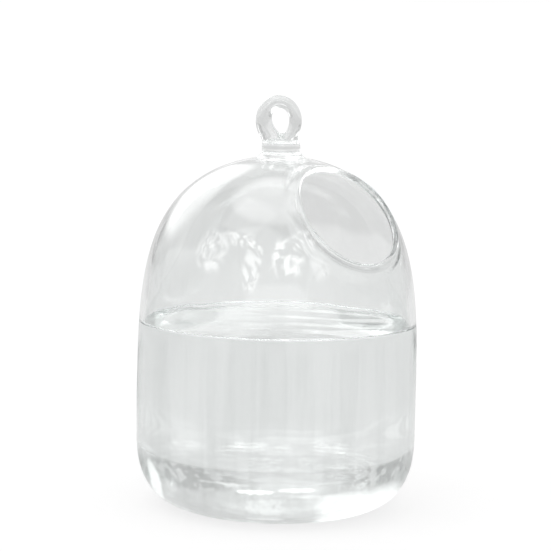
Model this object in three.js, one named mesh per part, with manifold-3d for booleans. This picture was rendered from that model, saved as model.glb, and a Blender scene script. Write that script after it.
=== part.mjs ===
// A hand-blown glass hanging vase: a bell-shaped bottle with a slanted round mouth in its shoulder,
// a knop and a hanging loop fused on its crown, and water standing in its lower half.
// Millimetres, +Z up, origin at the middle of the foot. The mouth opens towards +X and -Y.

import * as THREE from 'three';
import { mergeVertices } from 'three/addons/utils/BufferGeometryUtils.js';
import Module from 'manifold-3d';

// Driving dimensions of the bell
const BODY_DIAMETER = 100; // at the belly, the widest place
const BODY_HEIGHT = 125.3; // foot to crown, without the knop
const BELLY_HEIGHT = 28;
const FOOT_DIAMETER = 58.4; // the flat that it stands on
const WALL = 1.9;
const FLOOR = 3.2; // glass under the water
const DOME_RISE_POWER = 4.24; // how long the wall stays upright before it turns in
const DOME_ROUND_POWER = 2.09; // how full the crown is
const HEEL_RISE_POWER = 2.72;
const HEEL_ROUND_POWER = 2.22;

// Driving dimensions of the mouth
const MOUTH_DIAMETER = 39.8; // clear opening inside the bead
const BEAD_DIAMETER = 1.9; // fire-polished edge
const MOUTH_AZIMUTH = 46.8; // degrees from -Y towards +X
const MOUTH_TILT = 42.1; // degrees above the horizontal
const MOUTH_AXIS_HEIGHT = 77; // where the mouth's axis crosses the vase's axis

// Driving dimensions of the knop and the loop
const KNOP_DIAMETER = 13.7;
const KNOP_HEIGHT = 5.1; // above the crown
const KNOP_EDGE = 1.2; // rounding of its top edge
const KNOP_FOOT_DIAMETER = 21; // where its glass has spread over the crown
const KNOP_FOOT_EDGE = 0.4; // thickness of that spread at its edge
const KNOP_FLARE = 2.5; // height of the hollow curve from foot to button
const LOOP_WIDTH = 16.4; // outside
const LOOP_HEIGHT = 18.2; // outside
const LOOP_DEPTH = 4.8; // rod thickness from front to back
const LOOP_OFFSET = -1; // from the vase's axis, along X
const LOOP_SINK = 1.95; // how far the loop has melted into the knop
const EYE_WIDTH = 5.9;
const EYE_HEIGHT = 8.8;
const EYE_OFFSET = 0.75; // from the loop's middle, along X
const EYE_LEAN = 9; // degrees, its lower end towards +X
const EYE_TAPER = 0.2; // share of its width that it gains at the top and loses at the bottom

// Driving dimensions of the water
const WATER_LEVEL = 66;
const MENISCUS_CLIMB = 1.2; // how far the water creeps up the glass
const MENISCUS_WIDTH = 3.5; // how far from the glass the surface starts to rise

// Clearance between pieces that are fused or touch
const FUSE_GAP = 0.3;

// Fineness of the faceted surfaces
const BODY_SEGMENTS = 64;
const KNOP_SEGMENTS = 32;
const DOME_STEPS = 16;
const HEEL_STEPS = 8;
const RIM_STATIONS = 64;
const LOOP_STATIONS = 40;
const RING_SIDES = 12;
const KNOP_STEPS = 5;
const MENISCUS_STEPS = 4;
const SEARCH_STEPS = 40;

const QUARTER_TURN = Math.PI / 2;
const FULL_TURN = Math.PI * 2;

const bodyRadius = BODY_DIAMETER / 2;
const footRadius = FOOT_DIAMETER / 2;
const beadRadius = BEAD_DIAMETER / 2;
const mouthRadius = MOUTH_DIAMETER / 2 + beadRadius; // at the middle of the bead
const knopTop = BODY_HEIGHT + KNOP_HEIGHT;
const loopMiddle = knopTop - LOOP_SINK + LOOP_HEIGHT / 2;

const wasm = await Module();
wasm.setup();

// Boolean helpers: a closed geometry becomes a solid, and a solid becomes a geometry again

function toSolid(geometry) {
  const bare = geometry.clone();
  bare.deleteAttribute('normal');
  bare.deleteAttribute('uv');
  const merged = mergeVertices(bare);
  const corners = merged.index.array;
  const triangles = [];
  for (let first = 0; first < corners.length; first += 3) {
    const [a, b, c] = corners.slice(first, first + 3);
    if (a !== b && b !== c && c !== a) {
      triangles.push(a, b, c);
    }
  }
  return new wasm.Manifold(new wasm.Mesh({
    numProp: 3,
    vertProperties: merged.attributes.position.array,
    triVerts: new Uint32Array(triangles),
  }));
}

function toGeometry(solid) {
  const mesh = solid.getMesh();
  const geometry = new THREE.BufferGeometry();
  geometry.setAttribute('position', new THREE.BufferAttribute(mesh.vertProperties, 3));
  geometry.setIndex(new THREE.BufferAttribute(mesh.triVerts, 1));
  geometry.computeVertexNormals();
  return geometry;
}

// A turned form about +Z, from an outline of radius and height that runs upwards from axis to axis
function turned(outline, segments) {
  return new THREE.LatheGeometry(outline, segments).rotateX(QUARTER_TURN);
}

// A closed ring whose section at each angle is an ellipse: a middle and two half axes, across the ring
// and along the axis that the angle turns about, right-handed
function sweptRing(sectionAt, stations) {
  const positions = [];
  const triangles = [];
  for (let station = 0; station < stations; station++) {
    const { middle, across, along } = sectionAt(station / stations * FULL_TURN);
    for (let side = 0; side < RING_SIDES; side++) {
      const turn = side / RING_SIDES * FULL_TURN;
      const point = middle.clone();
      point.addScaledVector(across, Math.cos(turn));
      point.addScaledVector(along, Math.sin(turn));
      positions.push(...point.toArray());
      const nextSide = (side + 1) % RING_SIDES;
      const here = station * RING_SIDES;
      const ahead = (station + 1) % stations * RING_SIDES;
      triangles.push(here + side, ahead + side, here + nextSide);
      triangles.push(here + nextSide, ahead + side, ahead + nextSide);
    }
  }
  const geometry = new THREE.BufferGeometry();
  geometry.setAttribute('position', new THREE.Float32BufferAttribute(positions, 3));
  geometry.setIndex(triangles);
  geometry.computeVertexNormals();
  return geometry;
}

// The bell's outline: superellipse quarters for the dome and the heel

function roundOff(share, risePower, roundPower) {
  return (1 - share ** risePower) ** (1 / roundPower);
}

// Radius of the wall at a height, measured so far inside the outer surface
function wallRadiusAt(height, inset) {
  const rise = (height - BELLY_HEIGHT) / (BODY_HEIGHT - inset - BELLY_HEIGHT);
  const share = THREE.MathUtils.clamp(rise, 0, 1);
  return (bodyRadius - inset) * roundOff(share, DOME_RISE_POWER, DOME_ROUND_POWER);
}

function bellOutline(inset, footHeight) {
  const radius = bodyRadius - inset;
  const outline = [new THREE.Vector2(0, footHeight)];
  for (let step = 0; step <= HEEL_STEPS; step++) {
    const drop = Math.cos(step / HEEL_STEPS * QUARTER_TURN);
    outline.push(new THREE.Vector2(
      footRadius + (radius - footRadius) * roundOff(drop, HEEL_RISE_POWER, HEEL_ROUND_POWER),
      BELLY_HEIGHT - (BELLY_HEIGHT - footHeight) * drop,
    ));
  }
  for (let step = 1; step <= DOME_STEPS; step++) {
    const rise = Math.sin(step / DOME_STEPS * QUARTER_TURN);
    const height = BELLY_HEIGHT + (BODY_HEIGHT - inset - BELLY_HEIGHT) * rise;
    outline.push(new THREE.Vector2(wallRadiusAt(height, inset), height));
  }
  return outline;
}

function crownHeightAt(radius) {
  const rise = roundOff(radius / bodyRadius, DOME_ROUND_POWER, DOME_RISE_POWER);
  return BELLY_HEIGHT + (BODY_HEIGHT - BELLY_HEIGHT) * rise;
}

// The mouth's own axes: outwards along its axis, level sideways, and up its slope
const azimuth = THREE.MathUtils.degToRad(MOUTH_AZIMUTH);
const tilt = THREE.MathUtils.degToRad(MOUTH_TILT);
const mouthCentre = new THREE.Vector3(0, 0, MOUTH_AXIS_HEIGHT);
const mouthOut = new THREE.Vector3(
  Math.sin(azimuth) * Math.cos(tilt),
  -Math.cos(azimuth) * Math.cos(tilt),
  Math.sin(tilt),
);
const mouthLevel = new THREE.Vector3(Math.cos(azimuth), Math.sin(azimuth), 0);
const mouthUp = new THREE.Vector3().crossVectors(mouthOut, mouthLevel);

// Where a line along the mouth's axis leaves the middle of the wall
function wallPoint(start) {
  let near = 0;
  let far = BODY_DIAMETER;
  const point = new THREE.Vector3();
  for (let step = 0; step < SEARCH_STEPS; step++) {
    const half = (near + far) / 2;
    point.copy(start).addScaledVector(mouthOut, half);
    if (Math.hypot(point.x, point.y) < wallRadiusAt(point.z, WALL / 2)) {
      near = half;
    } else {
      far = half;
    }
  }
  return point;
}

function mouthCutter() {
  const cutRadius = mouthRadius + beadRadius + FUSE_GAP;
  const cutter = new THREE.CylinderGeometry(cutRadius, cutRadius, BODY_DIAMETER, BODY_SEGMENTS);
  const aim = new THREE.Quaternion().setFromUnitVectors(new THREE.Vector3(0, 1, 0), mouthOut);
  const middle = mouthCentre.clone().addScaledVector(mouthOut, BODY_DIAMETER / 2);
  return cutter.applyQuaternion(aim).translate(...middle.toArray());
}

function bellGeometry() {
  const outside = toSolid(turned(bellOutline(0, 0), BODY_SEGMENTS));
  const inside = toSolid(turned(bellOutline(WALL, FLOOR), BODY_SEGMENTS));
  const mouth = toSolid(mouthCutter());
  return toGeometry(outside.subtract(inside).subtract(mouth));
}

function rimGeometry() {
  return sweptRing((angle) => {
    const across = new THREE.Vector3();
    across.addScaledVector(mouthLevel, Math.cos(angle));
    across.addScaledVector(mouthUp, Math.sin(angle));
    const middle = wallPoint(mouthCentre.clone().addScaledVector(across, mouthRadius));
    across.multiplyScalar(beadRadius);
    return { middle, across, along: mouthOut.clone().multiplyScalar(beadRadius) };
  }, RIM_STATIONS);
}

// The loop: a rod ring between an oval outside and a leaning egg-shaped eye, in the XZ plane
function loopGeometry(grow) {
  const lean = THREE.MathUtils.degToRad(EYE_LEAN);
  return sweptRing((angle) => {
    const outer = new THREE.Vector3(
      LOOP_OFFSET + LOOP_WIDTH / 2 * Math.cos(angle),
      0,
      loopMiddle + LOOP_HEIGHT / 2 * Math.sin(angle),
    );
    const turn = angle - lean;
    const inner = new THREE.Vector3(
      EYE_WIDTH / 2 * Math.cos(turn) * (1 + EYE_TAPER * Math.sin(turn)),
      0,
      EYE_HEIGHT / 2 * Math.sin(turn),
    );
    inner.applyAxisAngle(new THREE.Vector3(0, -1, 0), lean);
    inner.add(new THREE.Vector3(LOOP_OFFSET + EYE_OFFSET, 0, loopMiddle));
    const middle = inner.clone().lerp(outer, 0.5);
    const across = outer.clone().sub(middle);
    across.setLength(across.length() + grow);
    return { middle, across, along: new THREE.Vector3(0, -LOOP_DEPTH / 2 - grow, 0) };
  }, LOOP_STATIONS);
}

// The knop: its underside follows the crown, a hollow curve leads up to a button with a round edge
function knopGeometry() {
  const spread = KNOP_FOOT_DIAMETER / 2;
  const buttonRadius = KNOP_DIAMETER / 2;
  const outline = [];
  for (let step = 0; step <= KNOP_STEPS; step++) {
    const radius = spread * step / KNOP_STEPS;
    outline.push(new THREE.Vector2(radius, crownHeightAt(radius) + FUSE_GAP));
  }
  const footHeight = crownHeightAt(spread) + FUSE_GAP + KNOP_FOOT_EDGE;
  for (let step = 0; step <= KNOP_STEPS; step++) {
    const turn = step / KNOP_STEPS * QUARTER_TURN;
    outline.push(new THREE.Vector2(
      spread - (spread - buttonRadius) * Math.sin(turn),
      footHeight + KNOP_FLARE * (1 - Math.cos(turn)),
    ));
  }
  for (let step = 0; step <= KNOP_STEPS; step++) {
    const turn = step / KNOP_STEPS * QUARTER_TURN;
    outline.push(new THREE.Vector2(
      buttonRadius - KNOP_EDGE * (1 - Math.cos(turn)),
      knopTop - KNOP_EDGE * (1 - Math.sin(turn)),
    ));
  }
  outline.push(new THREE.Vector2(0, knopTop));
  return toGeometry(toSolid(turned(outline, KNOP_SEGMENTS)).subtract(toSolid(loopGeometry(FUSE_GAP))));
}

// The water: the space inside the bell, up to a level surface that creeps up the glass
function waterGeometry() {
  const inset = WALL + FUSE_GAP;
  const wallRadius = wallRadiusAt(WATER_LEVEL, inset);
  const outline = [new THREE.Vector2(0, WATER_LEVEL)];
  for (let step = 0; step <= MENISCUS_STEPS; step++) {
    const turn = step / MENISCUS_STEPS * QUARTER_TURN;
    outline.push(new THREE.Vector2(
      wallRadius - MENISCUS_WIDTH * (1 - Math.sin(turn)),
      WATER_LEVEL + MENISCUS_CLIMB * (1 - Math.cos(turn)),
    ));
  }
  outline.push(new THREE.Vector2(BODY_DIAMETER, WATER_LEVEL + MENISCUS_CLIMB));
  outline.push(new THREE.Vector2(BODY_DIAMETER, WATER_LEVEL + BODY_HEIGHT));
  outline.push(new THREE.Vector2(0, WATER_LEVEL + BODY_HEIGHT));
  const space = toSolid(turned(bellOutline(inset, FLOOR + FUSE_GAP), BODY_SEGMENTS));
  return toGeometry(space.subtract(toSolid(turned(outline, BODY_SEGMENTS))));
}

function piece(name, geometry, material) {
  const mesh = new THREE.Mesh(geometry, material);
  mesh.name = name;
  return mesh;
}

function glass(colour) {
  return new THREE.MeshStandardMaterial({ color: colour, roughness: 0.05, metalness: 0 });
}

const vase = new THREE.Group();
vase.add(piece('bell_body', bellGeometry(), glass(0xdfe4e3)));
vase.add(piece('mouth_rim', rimGeometry(), glass(0xe9eeec)));
vase.add(piece('neck_knop', knopGeometry(), glass(0xdadfde)));
vase.add(piece('hanging_loop', loopGeometry(0), glass(0xd4dad8)));
vase.add(piece('water_fill', waterGeometry(), glass(0xe2e7e9)));

export default vase;
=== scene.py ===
"""Looks of a hand-blown hanging vase: fused clear glass, standing water, a pale studio, a fitted camera."""

import math

import bmesh
import bpy
import numpy as np
from mathutils import Matrix, Quaternion, Vector, noise


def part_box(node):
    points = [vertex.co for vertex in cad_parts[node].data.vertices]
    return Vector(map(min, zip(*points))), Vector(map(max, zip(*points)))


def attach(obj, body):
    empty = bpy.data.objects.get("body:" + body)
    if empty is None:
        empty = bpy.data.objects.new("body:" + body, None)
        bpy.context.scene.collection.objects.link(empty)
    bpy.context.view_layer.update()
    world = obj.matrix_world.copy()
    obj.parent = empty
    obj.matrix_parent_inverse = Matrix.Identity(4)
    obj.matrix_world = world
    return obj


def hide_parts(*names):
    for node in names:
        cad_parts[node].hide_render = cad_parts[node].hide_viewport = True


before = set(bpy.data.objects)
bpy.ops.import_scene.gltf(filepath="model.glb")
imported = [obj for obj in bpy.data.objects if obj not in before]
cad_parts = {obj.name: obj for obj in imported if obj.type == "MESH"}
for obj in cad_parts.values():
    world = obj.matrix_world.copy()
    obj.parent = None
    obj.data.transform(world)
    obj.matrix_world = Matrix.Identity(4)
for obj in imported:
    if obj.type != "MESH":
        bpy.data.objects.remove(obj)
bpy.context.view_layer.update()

MM = 0.001
QUARTER_TURN = math.pi / 2
FULL_TURN = math.pi * 2
HALF_CIRCLE = 180  # degrees

# The bell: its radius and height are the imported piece's, its curve is the same formula
_, bell_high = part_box("bell_body")
BODY_RADIUS = bell_high.x
CROWN = bell_high.z
BELLY_HEIGHT = 28 * MM
FOOT_RADIUS = 29.2 * MM
WALL = 1.9 * MM
BOTTOM = 3.2 * MM  # thickness of the glass under the water
DOME_RISE_POWER = 4.24
DOME_ROUND_POWER = 2.09
HEEL_RISE_POWER = 2.72
HEEL_ROUND_POWER = 2.22

# The mouth: a round hole about an axis that leaves the vase's own axis
MOUTH_RADIUS = 20.75 * MM  # at the middle of its bead
BEAD_RADIUS = 1 * MM
BEAD_FADE = 3.8 * MM  # how far from the edge the wall starts to rise and thicken
LIP_RAISE = 1.2 * MM  # how far the lip is drawn outwards
MOUTH_AZIMUTH = math.radians(44)
MOUTH_TILT = math.radians(42.1)
MOUTH_ORIGIN = np.array((0, 0, 76.3 * MM))
# The mouth's own axes: outwards, level sideways, and up its slope
MOUTH_OUT = np.array((
    math.sin(MOUTH_AZIMUTH) * math.cos(MOUTH_TILT),
    -math.cos(MOUTH_AZIMUTH) * math.cos(MOUTH_TILT),
    math.sin(MOUTH_TILT),
))
MOUTH_LEVEL = np.array((math.cos(MOUTH_AZIMUTH), math.sin(MOUTH_AZIMUTH), 0))
MOUTH_UP = np.cross(MOUTH_OUT, MOUTH_LEVEL)

# The knop and the loop
_, knop_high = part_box("neck_knop")
KNOP_TOP = knop_high.z
KNOP_FOOT_RADIUS = knop_high.x
KNOP_RADIUS = 6.85 * MM
KNOP_EDGE = 1.2 * MM
KNOP_FLARE = 2.9 * MM
loop_low, loop_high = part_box("hanging_loop")
LOOP_MIDDLE = (loop_low + loop_high) / 2
LOOP_WIDTH = loop_high.x - loop_low.x
LOOP_HEIGHT = loop_high.z - loop_low.z
LOOP_DEPTH = loop_high.y - loop_low.y
EYE_WIDTH = 5.9 * MM
EYE_HEIGHT = 8.8 * MM
EYE_OFFSET = 0.75 * MM
EYE_LEAN = math.radians(9)
EYE_TAPER = 0.2
# Glass gathered where the loop melts into the knop: place across, height, radius
GATHERS = [
    (-4.9 * MM, 131.8 * MM, 2.3 * MM),
    (-3.2 * MM, 130.8 * MM, 2.6 * MM),
    (4.2 * MM, 131.4 * MM, 1.9 * MM),
]

# The water
_, water_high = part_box("water_fill")
MENISCUS_CLIMB = 1.2 * MM
MENISCUS_WIDTH = 3.5 * MM
RIPPLE_HEIGHT = 0.07 * MM
RIPPLE_LENGTH = Vector((34, 13, 0)) * MM
WATER_LEVEL = water_high.z - MENISCUS_CLIMB
WATER_EMBED = 0.35 * MM  # how far the water reaches into the glass, so that no air lies between

# Hand-made unevenness of the glass
OUTER_WAVE = 0.16 * MM
INNER_WAVE = 0.22 * MM
OUTER_SEED = 3
INNER_SEED = 11
WAVE_SIZE = 26 * MM
DIMPLE_DEPTH = 0.08 * MM
DIMPLE_SIZE = 9 * MM
STREAK_DEPTH = 0.03 * MM
STREAK_WIDTH = 4.5 * MM
STREAK_LENGTH = 70 * MM

# Glass: clear, with painted shade in grey: faint upright streaks, and a greyer handle for the darker look of
# its solid glass
GLASS_IOR = 1.48
GLASS_CLEAR = (0.95, 0.96, 0.957, 1)
GLASS_SHADE_GREY = (0.78, 0.795, 0.79, 1)
# Painted shade: grey upright streaks in the glass, strongest below the water
PAINTED_STREAK_SHADE = 0.3
PAINTED_STREAK_SHADE_ABOVE = 0.25  # share of it above the water
PAINTED_STREAK_SIZE = (5 * MM, 5 * MM, 120 * MM)
PAINTED_STREAK_SPAN = (0.46, 0.6)  # noise levels where the grey starts and is full
PAINTED_HANDLE_SHADE = (0.05, 0.5)  # least and most painted shade on the handle
HANDLE_SHADE_MOTTLE_SIZE = (4 * MM, 4 * MM, 4 * MM)
HANDLE_SHADE_MOTTLE_SPAN = (0.4, 0.6)
FADE_HEIGHT = 6 * MM

# Water: clear at its surface, faintly grey in its depth
WATER_IOR = 1.333
WATER_SURFACE = (1, 1, 1, 1)
WATER_COLOUR = (0.9, 0.91, 0.91, 1)
WATER_DENSITY = 5.2

# Fineness of the meshes
COLUMNS = 192
ROWS = 96
LIP_ROWS = 12
WATER_COLUMNS = 384
SURFACE_RINGS = 40
LOOP_STATIONS = 72
LOOP_SIDES = 28
LATHE_STEPS = 10
KNOP_COLUMNS = 72
GATHER_FINENESS = 3
HANDLE_VOXEL = 0.22 * MM
HANDLE_SMOOTHING = 0.5
HANDLE_SMOOTHING_ROUNDS = 40
SEARCH_STEPS = 40

# The fitted camera
CAMERA_DISTANCE = 800 * MM
CAMERA_ELEVATION = math.radians(7.05)
CAMERA_ROLL = math.radians(1.1)
CAMERA_LENS = 146.9  # millimetres, on a sensor 36 mm wide
CAMERA_AIM = Vector((-1.1 * MM, 0, 82.6 * MM))

# The stage: a wide floor just under the foot, an even sky and one lamp, in metres and degrees
FLOOR_SIZE = 400
FLOOR_DROP = 0.05 * MM
FLOOR_COLOUR = 0.28
SKY_COLOUR = (1, 1, 1, 1)
SKY_LIGHT = 0.75
WHITE_LEVEL = 1  # floor and sky as the camera sees them
GLASS_LEVEL = 0.8  # bare floor as the glass shows it
LAMP_AZIMUTH = -50
LAMP_ELEVATION = 62
LAMP_DISTANCE = 1.4
LAMP_SIZE = 0.8
LAMP_POWER = 1.5
LIGHT_BOUNCES = 1024

# What the glass shows on the floor, as added levels, with the distances between which each one changes
GATHERED_LIGHT = 0.2  # streaks of light that the vase throws behind itself
GATHERED_RISE = (50 * MM, 100 * MM)  # behind the vase
GATHERED_FALL = (150 * MM, 195 * MM)  # from its axis
GATHERED_STREAK = (60 * MM, 7 * MM, 1)  # size of a streak
GATHERED_SPAN = (0.4, 0.6)  # noise levels beside a streak and in it
MIDDLE_LIGHT = 0.05  # a lighter strip along the middle
MIDDLE_ASIDE = (30 * MM, 120 * MM)  # to either side
MIDDLE_FALL = (600 * MM, 900 * MM)  # from the axis
FAR_SHADE = 0.1  # a darker floor far off
FAR_RISE = (1050 * MM, 1250 * MM)  # from the axis

# Bright and dark places that the glass mirrors: azimuth, elevation, width, height in degrees, added level
SOFT_WINDOWS = [
    # Behind on the left, behind on the right, and high behind
    (-145, 29, 60, 40, 1.3),
    (138, 12, 13, 20, 0.7),
    (180, 66, 100, 60, 0.2),
    # Overhead, wide enough to go all round
    (0, 78, 720, 46, 1.7),
    # Low behind, most of them flat streaks that glint on the water
    (180, 7, 18, 13, 0.06),
    (-163, 16, 18, 14, 0.5),
    (-175.5, 8.2, 9, 2.6, 0.46),
    (176, 9.2, 9, 2.6, 0.64),
    (-172, 11.5, 12, 1.8, 0.2),
    (178, 13.5, 10, 1.8, 0.2),
    (170, 6, 13, 1.6, 0.2),
    (-168, 5, 10, 1.6, 0.15),
    # Low in front, a dark place on the right, and a bright one on the left
    (0, 7, 60, 20, 0.9),
    (100, 32, 60, 60, -0.12),
    (-100, 34, 44, 50, 0.4),
]
# The same, seen through leaves, with the leaves' fineness first
LEAFY_WINDOWS = [
    # In front
    (13, -69, 28, 38, 28, 3),
    (13, -46, 41, 44, 12, 3),
    (13, -25, 27, 20, 36, 3),
    (7, 9, 32, 36, 34, 4),
    (10, 39, 26, 20, 22, 2),
    # Dark leaves low behind
    (16, 158, 5, 44, 13, -0.22),
    (17, -138, 4, 60, 13, -0.26),
]
WINDOW_POWER = 2.5
WINDOW_FADE = (0.3, 1)  # from its full level to its edge
LEAF_SPAN = (0.45, 0.53)  # noise levels of a leaf and of the light beside it
LEAF_DETAIL = 6
CLOUD_DETAIL = 3
DIFFUSE_LIMIT = 0.5  # fewer than one diffuse bounce


def new_object(name, data):
    made = bpy.data.objects.new(name, data)
    bpy.context.scene.collection.objects.link(made)
    return made


def mesh_from(name, points, faces):
    mesh = bpy.data.meshes.new(name)
    mesh.from_pydata([tuple(point) for point in points], [], faces)
    mesh.validate()
    made = bmesh.new()
    made.from_mesh(mesh)
    bmesh.ops.recalc_face_normals(made, faces=made.faces)
    made.to_mesh(mesh)
    made.free()
    mesh.shade_smooth()
    return mesh


def applied(piece):
    """The piece with its modifiers made real."""
    depsgraph = bpy.context.evaluated_depsgraph_get()
    mesh = bpy.data.meshes.new_from_object(piece.evaluated_get(depsgraph))
    piece.modifiers.clear()
    piece.data = mesh
    return piece


def sphere_faces(rows, columns):
    """Faces of a closed grid: rows of columns points each, then one point for each of the two ends."""
    first_end = rows * columns
    faces = []
    for column in range(columns):
        ahead = (column + 1) % columns
        faces.append((first_end, column, ahead))
        for row in range(rows - 1):
            here = row * columns
            faces.append((here + column, here + columns + column, here + columns + ahead, here + ahead))
        last = (rows - 1) * columns
        faces.append((first_end + 1, last + ahead, last + column))
    return faces


def turned_mesh(name, outline, columns):
    """A turned form about Z, from an outline of (radius, height) that starts and ends on the axis."""
    turns = np.arange(columns) / columns * FULL_TURN
    around = np.stack([np.cos(turns), np.sin(turns), np.zeros(columns)], axis=1)
    rows = [around * radius + (0, 0, height) for radius, height in outline[1:-1]]
    ends = np.array([(0, 0, outline[0][1]), (0, 0, outline[-1][1])])
    return mesh_from(name, np.concatenate(rows + [ends]), sphere_faces(len(rows), columns))


def quarter_steps():
    return [step / LATHE_STEPS * QUARTER_TURN for step in range(LATHE_STEPS + 1)]


def smooth_step(share):
    held = np.clip(share, 0, 1)
    return held * held * (3 - 2 * held)


def round_off(share, rise_power, round_power):
    return (1 - share ** rise_power) ** (1 / round_power)


def wall_radius(height, inset, bottom):
    """Radius at each height of the bell's surface that lies inset from the outer one, 0 outside its span."""
    rise = np.clip((height - BELLY_HEIGHT) / (CROWN - inset - BELLY_HEIGHT), 0, 1)
    drop = np.clip((BELLY_HEIGHT - height) / (BELLY_HEIGHT - bottom), 0, 1)
    widest = BODY_RADIUS - inset
    dome = widest * round_off(rise, DOME_RISE_POWER, DOME_ROUND_POWER)
    heel = FOOT_RADIUS + (widest - FOOT_RADIUS) * round_off(drop, HEEL_RISE_POWER, HEEL_ROUND_POWER)
    return np.where(height >= BELLY_HEIGHT, dome, np.where(height >= bottom, heel, 0))


def crown_height(radius):
    rise = round_off(radius / BODY_RADIUS, DOME_ROUND_POWER, DOME_RISE_POWER)
    return BELLY_HEIGHT + (CROWN - BELLY_HEIGHT) * rise


def surface_reach(starts, directions, inset, bottom):
    """How far each line runs from its start, inside the bell, to the bell's surface."""
    near = np.zeros(len(starts))
    far = np.full(len(starts), 2 * CROWN)
    for _ in range(SEARCH_STEPS):
        half = (near + far) / 2
        points = starts + directions * half[:, None]
        inside = np.hypot(points[:, 0], points[:, 1]) < wall_radius(points[:, 2], inset, bottom)
        near = np.where(inside, half, near)
        far = np.where(inside, far, half)
    return near


def waves(points, depth, seed):
    """Slow swells, dimples and fine upright streaks of hand-blown glass, all of them inwards."""
    offset = Vector((seed, 0, 0))
    made = []
    for x, y, z in points:
        swell = noise.noise(Vector((x, y, z)) / WAVE_SIZE + offset)
        dimple = noise.noise(Vector((x, y, z)) / DIMPLE_SIZE + offset)
        streak = noise.noise(Vector((x / STREAK_WIDTH, y / STREAK_WIDTH, z / STREAK_LENGTH)) - offset)
        fine = DIMPLE_DEPTH * (dimple - 1) + STREAK_DEPTH * (streak - 1)
        made.append((depth * (swell - 1) + fine) / 2)
    return np.array(made)


def shell_rows(inset, bottom, depth, seed, thicken):
    """Rows of points on one side of the wall, from the mouth's edge to the far pole, and that pole."""
    turns = np.arange(COLUMNS) / COLUMNS * FULL_TURN
    sideways = np.cos(turns)[:, None] * MOUTH_LEVEL + np.sin(turns)[:, None] * MOUTH_UP
    edge_starts = MOUTH_ORIGIN + MOUTH_RADIUS * sideways
    outwards = np.tile(MOUTH_OUT, (COLUMNS, 1))
    edge_angle = np.arctan2(MOUTH_RADIUS, surface_reach(edge_starts, outwards, inset, bottom))
    starts = np.tile(MOUTH_ORIGIN, (COLUMNS, 1))
    rows = []
    for row in range(ROWS):
        angle = edge_angle + (math.pi - edge_angle) * row / ROWS
        directions = np.cos(angle)[:, None] * MOUTH_OUT + np.sin(angle)[:, None] * sideways
        reach = surface_reach(starts, directions, inset, bottom)
        points = starts + directions * reach[:, None]
        from_edge = (angle - edge_angle) * reach
        nearness = smooth_step(1 - from_edge / BEAD_FADE)
        flat = smooth_step((points[:, 2] - bottom) / BELLY_HEIGHT)
        uneven = waves(points, depth, seed) * flat * smooth_step(from_edge / BEAD_FADE)
        swollen = directions * (thicken * nearness + uneven)[:, None]
        rows.append(points + swollen + MOUTH_OUT * (LIP_RAISE * nearness)[:, None])
    pole = starts[:1] - MOUTH_OUT * surface_reach(starts[:1], -outwards[:1], inset, bottom)[:, None]
    return rows, pole


def lip_rows(outer_edge, inner_edge):
    """Rows of points that lead in a half round from the outer edge of the mouth to the inner one."""
    middle = (outer_edge + inner_edge) / 2
    across = (outer_edge - inner_edge) / 2
    half = np.linalg.norm(across, axis=1)[:, None]
    from_axis = middle - MOUTH_ORIGIN
    from_axis = from_axis - (from_axis @ MOUTH_OUT)[:, None] * MOUTH_OUT
    inwards = -from_axis / np.linalg.norm(from_axis, axis=1)[:, None]
    rows = []
    for row in range(1, LIP_ROWS):
        turn = math.pi * row / LIP_ROWS
        rows.append(middle + across * math.cos(turn) + inwards * half * math.sin(turn))
    return rows


def make_shell():
    """The blown bell with its round lip, one closed grid from the far pole outside to the far pole inside."""
    thicken = BEAD_RADIUS - WALL / 2
    outer, outer_pole = shell_rows(0, 0, OUTER_WAVE, OUTER_SEED, thicken)
    inner, inner_pole = shell_rows(WALL, BOTTOM, INNER_WAVE, INNER_SEED, -thicken)
    rows = outer[::-1] + lip_rows(outer[0], inner[0]) + inner
    points = np.concatenate(rows + [outer_pole, inner_pole])
    return new_object("vase_glass", mesh_from("vase_glass", points, sphere_faces(len(rows), COLUMNS)))


def make_knop():
    """The button on the crown: rooted in the wall, hollow flare, upright side, round top edge."""
    root = WALL / 2
    outline = [(0, CROWN - root)]
    for radius in np.linspace(0, KNOP_FOOT_RADIUS, LATHE_STEPS)[1:]:
        outline.append((radius, crown_height(radius) - root))
    foot = crown_height(KNOP_FOOT_RADIUS)
    for turn in quarter_steps():
        radius = KNOP_FOOT_RADIUS - (KNOP_FOOT_RADIUS - KNOP_RADIUS) * math.sin(turn)
        outline.append((radius, foot + KNOP_FLARE * (1 - math.cos(turn))))
    for turn in quarter_steps():
        radius = KNOP_RADIUS - KNOP_EDGE * (1 - math.cos(turn))
        outline.append((radius, KNOP_TOP - KNOP_EDGE * (1 - math.sin(turn))))
    outline.append((0, KNOP_TOP))
    return turned_mesh("knop", outline, KNOP_COLUMNS)


def loop_section(turn):
    """Outer and inner point of the loop's rod at an angle, in the XZ plane."""
    outer = LOOP_MIDDLE + Vector((LOOP_WIDTH / 2 * math.cos(turn), 0, LOOP_HEIGHT / 2 * math.sin(turn)))
    own_turn = turn - EYE_LEAN
    across = EYE_WIDTH / 2 * math.cos(own_turn) * (1 + EYE_TAPER * math.sin(own_turn))
    inner = Vector((across, 0, EYE_HEIGHT / 2 * math.sin(own_turn)))
    inner.rotate(Quaternion((0, -1, 0), EYE_LEAN))
    return outer, LOOP_MIDDLE + Vector((EYE_OFFSET, 0, 0)) + inner


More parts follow.
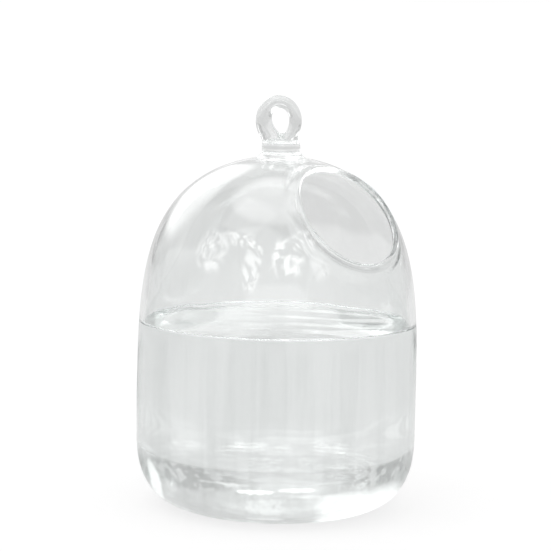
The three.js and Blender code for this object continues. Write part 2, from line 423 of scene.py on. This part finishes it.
def make_loop():
    """The rod bent into a ring, with elliptic sections between its outer edge and its eye."""
    points = []
    faces = []
    along = Vector((0, LOOP_DEPTH / 2, 0))
    for station in range(LOOP_STATIONS):
        outer, inner = loop_section(station / LOOP_STATIONS * FULL_TURN)
        middle = (outer + inner) / 2
        across = (outer - inner) / 2
        here = station * LOOP_SIDES
        ahead = (station + 1) % LOOP_STATIONS * LOOP_SIDES
        for side in range(LOOP_SIDES):
            turn = side / LOOP_SIDES * FULL_TURN
            points.append(middle + across * math.cos(turn) + along * math.sin(turn))
            after = (side + 1) % LOOP_SIDES
            faces.append((here + side, here + after, ahead + after, ahead + side))
    return mesh_from("loop", points, faces)


def make_handle():
    """Knop, loop and gathers melted into one: joined, remeshed and smoothed so that the joints flow."""
    joined = bmesh.new()
    joined.from_mesh(make_knop())
    joined.from_mesh(make_loop())
    for across, height, radius in GATHERS:
        middle = Matrix.Translation((across, 0, height))
        bmesh.ops.create_icosphere(joined, subdivisions=GATHER_FINENESS, radius=radius, matrix=middle)
    mesh = bpy.data.meshes.new("handle")
    joined.to_mesh(mesh)
    joined.free()
    handle = new_object("handle", mesh)
    remesh = handle.modifiers.new("melt", "REMESH")
    remesh.mode = "VOXEL"
    remesh.voxel_size = HANDLE_VOXEL
    remesh.use_smooth_shade = True
    smooth = handle.modifiers.new("flow", "SMOOTH")
    smooth.factor = HANDLE_SMOOTHING
    smooth.iterations = HANDLE_SMOOTHING_ROUNDS
    return applied(handle)


def make_glass():
    """The bell and its handle, fused into one piece as the real glass is."""
    shell = make_shell()
    handle = make_handle()
    union = shell.modifiers.new("fuse", "BOOLEAN")
    union.operation = "UNION"
    union.solver = "EXACT"
    union.object = handle
    applied(shell)
    bpy.data.objects.remove(handle)
    shell.data.shade_smooth()
    return shell


def water_outline(open_water, edge, inset, bottom):
    """Radius and height from the middle of the bottom up the wall, over the meniscus and in to the axis."""
    outline = [(0, bottom), (FOOT_RADIUS / 2, bottom), (FOOT_RADIUS, bottom)]
    top = WATER_LEVEL + MENISCUS_CLIMB
    for step in range(1, ROWS):
        height = bottom + (top - bottom) * (1 - math.cos(step / ROWS * QUARTER_TURN))
        outline.append((float(wall_radius(height, inset, bottom)), height))
    for turn in reversed(quarter_steps()):
        radius = edge - MENISCUS_WIDTH * (1 - math.sin(turn))
        outline.append((radius, WATER_LEVEL + MENISCUS_CLIMB * (1 - math.cos(turn))))
    for ring in range(SURFACE_RINGS - 1, -1, -1):
        outline.append((open_water * ring / SURFACE_RINGS, WATER_LEVEL))
    return outline


def make_water():
    """The water: it reaches a little into the glass, under a rippled surface that creeps up the wall."""
    inset = WALL - WATER_EMBED
    bottom = BOTTOM - WATER_EMBED
    edge = float(wall_radius(WATER_LEVEL + MENISCUS_CLIMB, inset, bottom))
    open_water = edge - MENISCUS_WIDTH
    mesh = turned_mesh("vase_water", water_outline(open_water, edge, inset, bottom), WATER_COLUMNS)
    for vertex in mesh.vertices:
        x, y, z = vertex.co
        if abs(z - WATER_LEVEL) < RIPPLE_HEIGHT:
            calm = smooth_step((open_water - math.hypot(x, y)) / MENISCUS_WIDTH)
            place = Vector((x / RIPPLE_LENGTH.x, y / RIPPLE_LENGTH.y, 0))
            vertex.co.z += float(calm) * RIPPLE_HEIGHT * noise.noise(place)
    return new_object("vase_water", mesh)


def set_input(tree, socket, value):
    if isinstance(value, bpy.types.NodeSocket):
        tree.links.new(value, socket)
    else:
        socket.default_value = value


def math_node(tree, operation, *values):
    node = tree.nodes.new("ShaderNodeMath")
    node.operation = operation
    for socket, value in zip(node.inputs, values):
        set_input(tree, socket, value)
    return node.outputs[0]


def ramp_node(tree, value, span, to_low, to_high):
    """A smooth step from one level to another while the value crosses the span."""
    node = tree.nodes.new("ShaderNodeMapRange")
    node.interpolation_type = "SMOOTHSTEP"
    tree.links.new(value, node.inputs["Value"])
    node.inputs["From Min"].default_value = span[0]
    node.inputs["From Max"].default_value = span[1]
    node.inputs["To Min"].default_value = to_low
    node.inputs["To Max"].default_value = to_high
    return node.outputs[0]


def noise_node(tree, place, scale, detail):
    node = tree.nodes.new("ShaderNodeTexNoise")
    node.inputs["Scale"].default_value = scale
    node.inputs["Detail"].default_value = detail
    tree.links.new(place, node.inputs["Vector"])
    return node.outputs["Fac"]


def clouds(tree, place, size):
    """Cloudy noise whose clouds have the given size along X, Y and Z."""
    mapping = tree.nodes.new("ShaderNodeMapping")
    mapping.inputs["Scale"].default_value = [1 / length for length in size]
    tree.links.new(place, mapping.inputs["Vector"])
    return noise_node(tree, mapping.outputs["Vector"], 1, CLOUD_DETAIL)


def object_place(tree):
    """A point's place in the object, and its X, Y and Z."""
    place = tree.nodes.new("ShaderNodeTexCoord").outputs["Object"]
    parts = tree.nodes.new("ShaderNodeSeparateXYZ")
    tree.links.new(place, parts.inputs[0])
    return place, parts.outputs


def clear_material(name, colour, ior):
    material = bpy.data.materials.new(name)
    material.use_nodes = True
    shader = material.node_tree.nodes["Principled BSDF"]
    shader.inputs["Base Color"].default_value = colour
    shader.inputs["IOR"].default_value = ior
    shader.inputs["Roughness"].default_value = 0
    shader.inputs["Transmission Weight"].default_value = 1
    return material


def glass_material():
    """Clear glass with painted shade: faint grey upright streaks low down, and a greyer, mottled handle for
    the darker look of solid glass.
    """
    material = clear_material("clear_glass", GLASS_CLEAR, GLASS_IOR)
    tree = material.node_tree
    place, parts = object_place(tree)
    below = (WATER_LEVEL - FADE_HEIGHT, WATER_LEVEL)
    above = (KNOP_TOP - FADE_HEIGHT, KNOP_TOP)
    # Painted shade: grey upright streaks, full below the water and weaker above it
    streaks = ramp_node(tree, clouds(tree, place, PAINTED_STREAK_SIZE), PAINTED_STREAK_SPAN, 0, PAINTED_STREAK_SHADE)
    low = ramp_node(tree, parts["Z"], below, 1, PAINTED_STREAK_SHADE_ABOVE)
    # Painted shade: the handle greyer in mottled patches, for the darker look of its solid glass
    handle_mottle = ramp_node(tree, clouds(tree, place, HANDLE_SHADE_MOTTLE_SIZE), HANDLE_SHADE_MOTTLE_SPAN, *PAINTED_HANDLE_SHADE)
    high = ramp_node(tree, parts["Z"], above, 0, 1)
    streak_shade = math_node(tree, "MULTIPLY", streaks, low)
    handle_shade = math_node(tree, "MULTIPLY", handle_mottle, high)
    glass_and_shade = tree.nodes.new("ShaderNodeMix")
    glass_and_shade.data_type = "RGBA"
    tree.links.new(math_node(tree, "MAXIMUM", streak_shade, handle_shade), glass_and_shade.inputs["Factor"])
    glass_and_shade.inputs["A"].default_value = GLASS_CLEAR
    glass_and_shade.inputs["B"].default_value = GLASS_SHADE_GREY
    shader = tree.nodes["Principled BSDF"]
    tree.links.new(glass_and_shade.outputs["Result"], shader.inputs["Base Color"])
    return material


def water_material():
    """Water is clear at its surface and darkens what is seen through its depth."""
    material = clear_material("clear_water", WATER_SURFACE, WATER_IOR)
    tree = material.node_tree
    absorption = tree.nodes.new("ShaderNodeVolumeAbsorption")
    absorption.inputs["Color"].default_value = WATER_COLOUR
    absorption.inputs["Density"].default_value = WATER_DENSITY
    tree.links.new(absorption.outputs["Volume"], tree.nodes["Material Output"].inputs["Volume"])
    return material


def dress(piece, material, slot, *nodes):
    piece.data.materials.clear()
    piece.data.materials.append(material)
    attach(piece, "root")
    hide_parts(*nodes)


def make_camera():
    back = Vector((0, -math.cos(CAMERA_ELEVATION), math.sin(CAMERA_ELEVATION)))
    camera = new_object("camera", bpy.data.cameras.new("camera"))
    camera.data.lens = CAMERA_LENS
    camera.location = CAMERA_AIM + back * CAMERA_DISTANCE
    look = back.to_track_quat("Z", "Y") @ Quaternion((0, 0, 1), CAMERA_ROLL)
    camera.rotation_euler = look.to_euler()
    bpy.context.scene.camera = camera


def floor_seen(tree):
    """What the glass shows on the floor: streaks behind the vase, a lighter middle, shade far off."""
    place, parts = object_place(tree)
    length = tree.nodes.new("ShaderNodeVectorMath")
    length.operation = "LENGTH"
    tree.links.new(place, length.inputs[0])
    distance = length.outputs["Value"]
    behind = ramp_node(tree, parts["Y"], GATHERED_RISE, 0, GATHERED_LIGHT)
    near = ramp_node(tree, distance, GATHERED_FALL, 1, 0)
    streaks = ramp_node(tree, clouds(tree, place, GATHERED_STREAK), GATHERED_SPAN, 0, 1)
    gathered = math_node(tree, "MULTIPLY", math_node(tree, "MULTIPLY", behind, near), streaks)
    aside = math_node(tree, "ABSOLUTE", parts["X"])
    strip = ramp_node(tree, aside, MIDDLE_ASIDE, MIDDLE_LIGHT, 0)
    not_far = ramp_node(tree, distance, MIDDLE_FALL, 1, 0)
    far = ramp_node(tree, distance, FAR_RISE, 0, -FAR_SHADE)
    lighter = math_node(tree, "ADD", gathered, math_node(tree, "MULTIPLY", strip, not_far))
    return math_node(tree, "ADD", lighter, far)


def floor_material():
    """A plain floor that takes the shadow, raised to white for the camera and to its own level for glass."""
    material = bpy.data.materials.new("floor")
    material.use_nodes = True
    tree = material.node_tree
    tree.nodes.clear()
    diffuse = tree.nodes.new("ShaderNodeBsdfDiffuse")
    diffuse.inputs["Color"].default_value = (FLOOR_COLOUR, FLOOR_COLOUR, FLOOR_COLOUR, 1)
    lit = FLOOR_COLOUR * SKY_LIGHT
    path = tree.nodes.new("ShaderNodeLightPath").outputs
    by_glass = math_node(tree, "MAXIMUM", path["Is Glossy Ray"], path["Is Transmission Ray"])
    seen = math_node(tree, "ADD", floor_seen(tree), GLASS_LEVEL - lit)
    to_glass = math_node(tree, "MULTIPLY", by_glass, seen)
    to_camera = math_node(tree, "MULTIPLY", path["Is Camera Ray"], WHITE_LEVEL - lit)
    emission = tree.nodes.new("ShaderNodeEmission")
    tree.links.new(math_node(tree, "ADD", to_glass, to_camera), emission.inputs["Strength"])
    both = tree.nodes.new("ShaderNodeAddShader")
    tree.links.new(diffuse.outputs[0], both.inputs[0])
    tree.links.new(emission.outputs[0], both.inputs[1])
    output = tree.nodes.new("ShaderNodeOutputMaterial")
    tree.links.new(both.outputs[0], output.inputs["Surface"])
    return material


def make_floor():
    half = FLOOR_SIZE / 2
    corners = [(x * half, y * half, -FLOOR_DROP) for x, y in ((-1, -1), (1, -1), (1, 1), (-1, 1))]
    floor = new_object("floor", mesh_from("floor", corners, [(0, 1, 2, 3)]))
    floor.data.materials.append(floor_material())


def sky_angles(tree):
    """Direction of a ray to the sky, and its azimuth and elevation in degrees, as in towards()."""
    direction = tree.nodes.new("ShaderNodeTexCoord").outputs["Generated"]
    parts = tree.nodes.new("ShaderNodeSeparateXYZ")
    tree.links.new(direction, parts.inputs[0])
    forward = math_node(tree, "MULTIPLY", parts.outputs["Y"], -1)
    turn = math_node(tree, "ARCTAN2", parts.outputs["X"], forward)
    tilt = math_node(tree, "ARCSINE", parts.outputs["Z"])
    return direction, math_node(tree, "DEGREES", turn), math_node(tree, "DEGREES", tilt)


def window_reach(tree, angle, half):
    """How far out an angle lies in a window of that half width, rising to 1 at its edge."""
    share = math_node(tree, "DIVIDE", angle, half)
    return math_node(tree, "POWER", math_node(tree, "ABSOLUTE", share), WINDOW_POWER)


def soft_window(tree, turn, tilt, azimuth, elevation, width, height, level):
    """A bright place in the sky with round corners, which fades out towards its edge."""
    aside = math_node(tree, "SUBTRACT", turn, azimuth)
    wrapped = math_node(tree, "WRAP", aside, HALF_CIRCLE, -HALF_CIRCLE)
    above = math_node(tree, "SUBTRACT", tilt, elevation)
    across_part = window_reach(tree, wrapped, width / 2)
    up_part = window_reach(tree, above, height / 2)
    return ramp_node(tree, math_node(tree, "ADD", across_part, up_part), WINDOW_FADE, level, 0)


def leaves(tree, direction, fineness):
    """Gaps of light between leaves outside a window."""
    return ramp_node(tree, noise_node(tree, direction, fineness, LEAF_DETAIL), LEAF_SPAN, 0, 1)


def make_world():
    """An even sky, white to the camera. Glass also finds the room's windows in it."""
    world = bpy.data.worlds.new("studio")
    bpy.context.scene.world = world
    world.use_nodes = True
    tree = world.node_tree
    path = tree.nodes.new("ShaderNodeLightPath").outputs
    direction, turn, tilt = sky_angles(tree)
    windows = 0
    for place in SOFT_WINDOWS:
        windows = math_node(tree, "ADD", windows, soft_window(tree, turn, tilt, *place))
    for fineness, *place in LEAFY_WINDOWS:
        window = soft_window(tree, turn, tilt, *place)
        leafy = math_node(tree, "MULTIPLY", window, leaves(tree, direction, fineness))
        windows = math_node(tree, "ADD", windows, leafy)
    by_glass = math_node(tree, "LESS_THAN", path["Diffuse Depth"], DIFFUSE_LIMIT)
    mirrored = math_node(tree, "ADD", math_node(tree, "MULTIPLY", windows, by_glass), SKY_LIGHT)
    level = tree.nodes.new("ShaderNodeMix")
    tree.links.new(path["Is Camera Ray"], level.inputs["Factor"])
    tree.links.new(mirrored, level.inputs["A"])
    level.inputs["B"].default_value = WHITE_LEVEL
    background = tree.nodes["Background"]
    background.inputs["Color"].default_value = SKY_COLOUR
    tree.links.new(level.outputs["Result"], background.inputs["Strength"])


def towards(azimuth, elevation):
    """Unit vector of a direction in degrees. Azimuth 0 is the camera's side, positive towards +X."""
    turn = math.radians(azimuth)
    tilt = math.radians(elevation)
    return Vector((math.sin(turn) * math.cos(tilt), -math.cos(turn) * math.cos(tilt), math.sin(tilt)))


def make_lamp():
    """A soft box that looks at the vase."""
    back = towards(LAMP_AZIMUTH, LAMP_ELEVATION)
    light = bpy.data.lights.new("soft_box", "AREA")
    light.shape = "RECTANGLE"
    light.size = LAMP_SIZE
    light.size_y = LAMP_SIZE
    light.energy = LAMP_POWER
    lamp = new_object("soft_box", light)
    lamp.location = Vector((0, 0, CROWN / 2)) + back * LAMP_DISTANCE
    lamp.rotation_euler = back.to_track_quat("Z", "Y").to_euler()
    lamp.visible_camera = False


def set_up_render():
    """Plain colours, and enough bounces for light that circles in the glass."""
    scene = bpy.context.scene
    scene.view_settings.view_transform = "Standard"
    scene.cycles.max_bounces = LIGHT_BOUNCES
    scene.cycles.transmission_bounces = LIGHT_BOUNCES
    scene.cycles.glossy_bounces = LIGHT_BOUNCES
    scene.cycles.use_denoising = True


glass = make_glass()
dress(glass, glass_material(), "bell_glass", "bell_body", "mouth_rim", "neck_knop", "hanging_loop")
water = make_water()
dress(water, water_material(), "water", "water_fill")

make_camera()
make_floor()
make_world()
make_lamp()
set_up_render()
